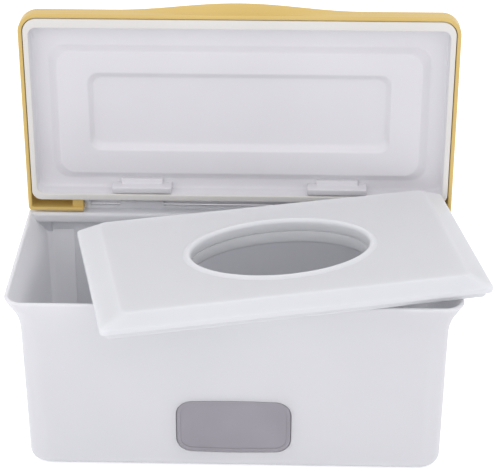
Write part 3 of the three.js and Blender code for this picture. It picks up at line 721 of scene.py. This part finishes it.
# Half width, ends toward the hinge and the front, two corners and depth, from the
# liner's back over its raised band down into the recess
LINER_ROWS = (
    (LINER_HALF - 2, SEAL_LOW + 2, SEAL_HIGH - 2, 3.5, 5.9, -LINER_BACK),
    (LINER_HALF, SEAL_LOW, SEAL_HIGH, SEAL_HINGE_CORNER, SEAL_FRONT_CORNER, -8.5),
    (LINER_HALF, SEAL_LOW, SEAL_HIGH, SEAL_HINGE_CORNER, SEAL_FRONT_CORNER, -LINER_FACE),
    (114.9, 10.4, 111, 4.8, 4.8, -LINER_FACE),
    (114.65, 10.7, 110.75, 4.7, 4.7, -LINER_FACE - 0.15),
    (114.5, 10.9, 110.6, 4.6, 4.6, -LINER_FACE - 0.5),
    (114.1, 11.4, 110.2, 4.4, 4.4, -7.2),
    (113.95, 11.55, 110.05, 4.2, 4.2, -8.0),
    (113.5, 12, 109.6, 4, 4, -8.6),
    (112.9, 12.6, 109, 3.7, 3.7, -8.9),
    (112.2, 13.3, 108.3, 3.4, 3.4, -9.0),
    (105.7, 16.9, 98.8, 9.8, 9.8, -9.0),
    (105.1, 17.5, 98.2, 9.4, 9.4, -8.92),
    (104.5, 18.1, 97.6, 9, 9, -8.6),
    (101.2, 21.3, 95.7, 8.7, 8.7, -6.05),
    (100.7, 21.75, 95.2, 8.4, 8.4, -5.68),
    (100.2, 22.2, 94.7, 8.1, 8.1, -5.53),
    (99.6, 22.8, 94.1, 7.7, 7.7, -5.5),
    (84.3, 35.3, 83.3, 6.7, 6.7, -5.5),
    (83.8, 35.8, 82.8, 6.3, 6.3, -5.56),
    (83.3, 36.4, 82.2, 6, 6, -5.85),
    (81.8, 38.5, 80.1, 5.7, 5.7, -7.8),
    (81.2, 39.3, 79.3, 5.3, 5.3, -8.2),
    (80.5, 40.1, 78.5, 4.8, 4.8, -8.3),
)


def make_lid_liner():
    tray = round_skin(LINER_ROWS, arc=12)
    apron_half = NOTCH_REACH - LID_FIT
    parts = [block(-apron_half, apron_half, APRON_LOW, SEAL_LOW + 1, -LINER_BACK, -LINER_FLOOR, edge=0.2)]
    for side in (-1, 1):
        parts.append(side_block(side, *PAD_ENDS, 11.5, 15, -9.5, -0.7, edge=0.5, segments=3))
        parts.append(side_block(side, *TONGUE_ENDS, 14.5, 18, -9.5, -6, edge=0.5, segments=3))
    whole = combine(tray, parts, "UNION")
    pockets = [side_block(side, NOTCH_REACH - LID_FIT, BLOCK_OUTER + LID_FIT, 6, BLOCK_LENGTH + LID_FIT,
                          -LINER_BACK - 1, LID_FIT - BLOCK_DEPTH, edge=0.01, segments=1)
               for side in (-1, 1)]
    rooms = [rod(EAR_POCKET_RADIUS, middle - EAR_POCKET_HALF, middle + EAR_POCKET_HALF, HINGE_IN, -HINGE_IN)
             for middle in (-EAR_POCKET_MIDDLE, EAR_POCKET_MIDDLE)]
    whole = combine(whole, [*pockets, *rooms], "DIFFERENCE")
    piece("lid_liner_moulding", whole, "lid", ["lid_liner"], WHITE_LINER, lid_place(),
          edge=0.2)


# Dispensing plate, drawn with its underside on z = 0

def plate_place():
    tip, roll, turn = (math.radians(v) for v in PLATE_TURNS)
    spin = Matrix.Rotation(turn, 4, "Z") @ Matrix.Rotation(roll, 4, "Y") @ Matrix.Rotation(tip, 4, "X")
    return Matrix.Translation(PLATE_PLACE) @ spin


def plate_row(inset_x, inset_y, corner, level):
    depth = PLATE_HALF_DEPTH - inset_y
    return PLATE_HALF - inset_x, -depth, depth, corner, corner, level


def oval_rows(rows):
    return [(HOLE_X + wall, HOLE_Y + wall, level) for wall, level in rows]


def hole_cutter():
    return oval_skin(oval_rows([(COLLAR_WALL / 2, -2), (COLLAR_WALL / 2, 20)]))


# In from the ends, in from the front, and up: the bend from the upright band to the slope
BAND_BEND = ((0, 0, -0.5), (0.08, 0.06, -0.22), (0.3, 0.2, 0), (0.75, 0.4, 0.28))
# In from the slope's ends and front, more corner, and down: the bend from the slope to the top
TOP_BEND = ((-0.9, -0.5, 0.3, 0.5), (-0.5, -0.25, 0.15, 0.28), (0, 0.05, 0, 0.12), (0.6, 0.5, -0.2, 0.03),
            (1.3, 1, -0.4, 0))


def plate_cover_rows():
    """From the ceiling inside, round the lower rim and up the slopes to the top."""
    rows = [
        plate_row(SLOPE_SIDE + COVER_SKIN, SLOPE_FRONT + COVER_SKIN + 1, 3, PLATE_HEIGHT - COVER_SKIN),
        plate_row(COVER_RIM, COVER_RIM, PLATE_INNER_CORNER, BAND_TOP - 0.6),
        plate_row(COVER_RIM, COVER_RIM, PLATE_INNER_CORNER, COVER_START),
    ]
    for a in quarter(4):
        inset = 0.5 * (1 - math.sin(a))
        rows.append(plate_row(inset, inset, PLATE_CORNER - inset, COVER_START + 0.5 * (1 - math.cos(a))))
    for side, front, rise in BAND_BEND:
        rows.append(plate_row(side, front, PLATE_CORNER, BAND_TOP + rise))
    for side, front, corner, drop in TOP_BEND:
        rows.append(plate_row(SLOPE_SIDE + side, SLOPE_FRONT + front, PLATE_TOP_CORNER + corner,
                              PLATE_HEIGHT - drop))
    return rows


def make_plate_cover():
    body = combine(round_skin(plate_cover_rows(), arc=12), [hole_cutter()], "DIFFERENCE")
    top = PLATE_HEIGHT
    crest = COLLAR_WALL - 0.5
    outside = [(crest + t * (LIP_REACH - crest), top + LIP_RISE * math.cos(t * math.pi / 2) ** 2 - 0.1 * t)
               for t in (1 - k / 12 for k in range(13))]
    inside = [(crest * (1 - math.sin(a)), top + LIP_RISE - (crest + LIP_RISE / 2) * (1 - math.cos(a)))
              for a in quarter(8)[1:]]
    collar = oval_skin(oval_rows([
        (COLLAR_WALL, COLLAR_SEAM), (COLLAR_WALL, top - 1), (LIP_REACH, top - 1), *outside, *inside,
        (0, COLLAR_SEAM + 0.15), (0.15, COLLAR_SEAM),
    ]), loop=True)
    piece("plate_cover_moulding", combine(body, [collar], "UNION"), "tub", ["plate_cover"],
          WHITE_PLATE, plate_place(), level_shading=True)


def make_plate_base():
    top = COVER_START - SEAM
    inner = BASE_INSET + BASE_WALL
    rows = []
    for a in quarter(6):
        inset = BASE_INSET + BASE_ROUND * (1 - math.sin(a))
        corner = PLATE_CORNER + BASE_INSET - inset
        rows.append(plate_row(inset, inset, corner, BASE_ROUND * (1 - math.cos(a))))
    rows += [
        plate_row(BASE_INSET, BASE_INSET, PLATE_CORNER, top),
        plate_row(inner, inner, PLATE_INNER_CORNER, top),
        plate_row(inner, inner, PLATE_INNER_CORNER, BASE_WALL),
    ]
    tray = combine(round_skin(rows, arc=12), [hole_cutter()], "DIFFERENCE")
    seam = COLLAR_SEAM - SEAM
    collar = oval_skin(oval_rows([
        (COLLAR_WALL, 0), (COLLAR_WALL, seam), (0.5, seam), (0.15, seam - 0.15), (0, seam - 0.5),
        (0, 1.6), (0.2, 0.8), (0.6, 0.25), (1.2, 0),
    ]), loop=True)
    piece("plate_base_moulding", combine(tray, [collar], "UNION"), "tub", ["plate_base"],
          WHITE_PLATE, plate_place())


# Small CAD nodes that keep their shape and get their finish

def dress_small_nodes():
    pin_steel = drawn_steel("drawn steel rod", "#c4c6ca", (0.1, 1, 1))
    weight_steel = drawn_steel("rolled steel plate", "#b0b2b6", (0.1, 1, 1))
    finishes = {"hinge_pin": pin_steel, "plate_weight": weight_steel, "foot": FOOT_RUBBER}
    for name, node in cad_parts.items():
        for start, material in finishes.items():
            if name.startswith(start):
                node.data.materials.clear()
                node.data.materials.append(material)


# Studio

def seen_directly(tree):
    """One where the camera looks, or a gloss or a clear pane passes its view on."""
    path = add(tree, "ShaderNodeLightPath")
    camera, glossy, clear = (path.outputs[f"Is {kind} Ray"] for kind in ("Camera", "Glossy", "Transmission"))
    either = add(tree, "ShaderNodeMath", {0: camera, 1: glossy}, operation="MAXIMUM")
    return add(tree, "ShaderNodeMath", {0: either.outputs[0], 1: clear}, operation="MAXIMUM").outputs[0]


def make_floor():
    bm = bmesh.new()
    bmesh.ops.create_grid(bm, x_segments=1, y_segments=1, size=6)
    bmesh.ops.translate(bm, verts=bm.verts, vec=(0, 0, -0.0008))
    mesh = bpy.data.meshes.new("studio_floor")
    bm.to_mesh(mesh)
    bm.free()
    floor = bpy.data.objects.new("studio_floor", mesh)
    bpy.context.scene.collection.objects.link(floor)
    # White card: white to the camera except where the object shades it
    material = bpy.data.materials.new("white studio card")
    material.use_nodes = True
    tree = material.node_tree
    tree.nodes.clear()
    seen = seen_directly(tree)
    card = add(tree, "ShaderNodeBsdfDiffuse", inputs={"Color": linear("#f0f0f2")})
    glow = add(tree, "ShaderNodeEmission", inputs={"Color": (1, 1, 1, 1), "Strength": 0.55})
    lit = add(tree, "ShaderNodeAddShader", {0: card.outputs[0], 1: glow.outputs[0]})
    mix = add(tree, "ShaderNodeMixShader", {0: seen, 1: card.outputs[0], 2: lit.outputs[0]})
    add(tree, "ShaderNodeOutputMaterial", {"Surface": mix.outputs[0]})
    mesh.materials.append(material)


def make_world():
    world = bpy.data.worlds.new("studio")
    bpy.context.scene.world = world
    world.use_nodes = True
    tree = world.node_tree
    tree.nodes.clear()
    seen = seen_directly(tree)
    room = add(tree, "ShaderNodeBackground", inputs={"Color": linear("#fdfcff"), "Strength": 1.0})
    white = add(tree, "ShaderNodeBackground", inputs={"Color": (1, 1, 1, 1), "Strength": 1.0})
    mix = add(tree, "ShaderNodeMixShader", {0: seen, 1: room.outputs[0], 2: white.outputs[0]})
    add(tree, "ShaderNodeOutputWorld", {"Surface": mix.outputs[0]})


def area_light(name, place, aim, size, power):
    lamp = bpy.data.lights.new(name, "AREA")
    lamp.shape = "RECTANGLE"
    lamp.size, lamp.size_y = size
    lamp.energy = power
    made = bpy.data.objects.new(name, lamp)
    made.location = place
    made.rotation_euler = (Vector(aim) - Vector(place)).to_track_quat("-Z", "Y").to_euler()
    bpy.context.scene.collection.objects.link(made)


def make_camera():
    yaw, pitch, roll = (math.radians(v) for v in CAMERA_TURNS)
    ahead = Vector((math.sin(yaw) * math.cos(pitch), math.cos(yaw) * math.cos(pitch), -math.sin(pitch)))
    right = ahead.cross(Vector((0, 0, 1))).normalized()
    up = right.cross(ahead)
    side = math.cos(roll) * right + math.sin(roll) * up
    top = side.cross(ahead)
    lens = bpy.data.cameras.new("photo_camera")
    lens.sensor_width = SENSOR_WIDTH
    lens.lens = CAMERA_FOCAL_WIDTHS * SENSOR_WIDTH
    lens.shift_x, lens.shift_y = CAMERA_SHIFT
    lens.clip_end = 20
    camera = bpy.data.objects.new("photo_camera", lens)
    turn = Matrix((side, top, -ahead)).transposed().to_4x4()
    camera.matrix_world = Matrix.Translation(CAMERA_PLACE) @ turn
    bpy.context.scene.collection.objects.link(camera)
    bpy.context.scene.camera = camera


bpy.context.scene.view_settings.view_transform = "Standard"
make_camera()
make_world()
make_floor()
area_light("key_softbox", (-0.6, -1.3, 0.7), (0, 0, 0.1), (1.0, 0.8), 1.6)
area_light("fill_softbox", (0.5, -1.5, 0.35), (0, 0, 0.1), (1.0, 0.8), 0.8)

make_tub()
make_window()
make_lid_shell()
make_lid_liner()
make_lid_seal()
make_plate_cover()
make_plate_base()
dress_small_nodes()
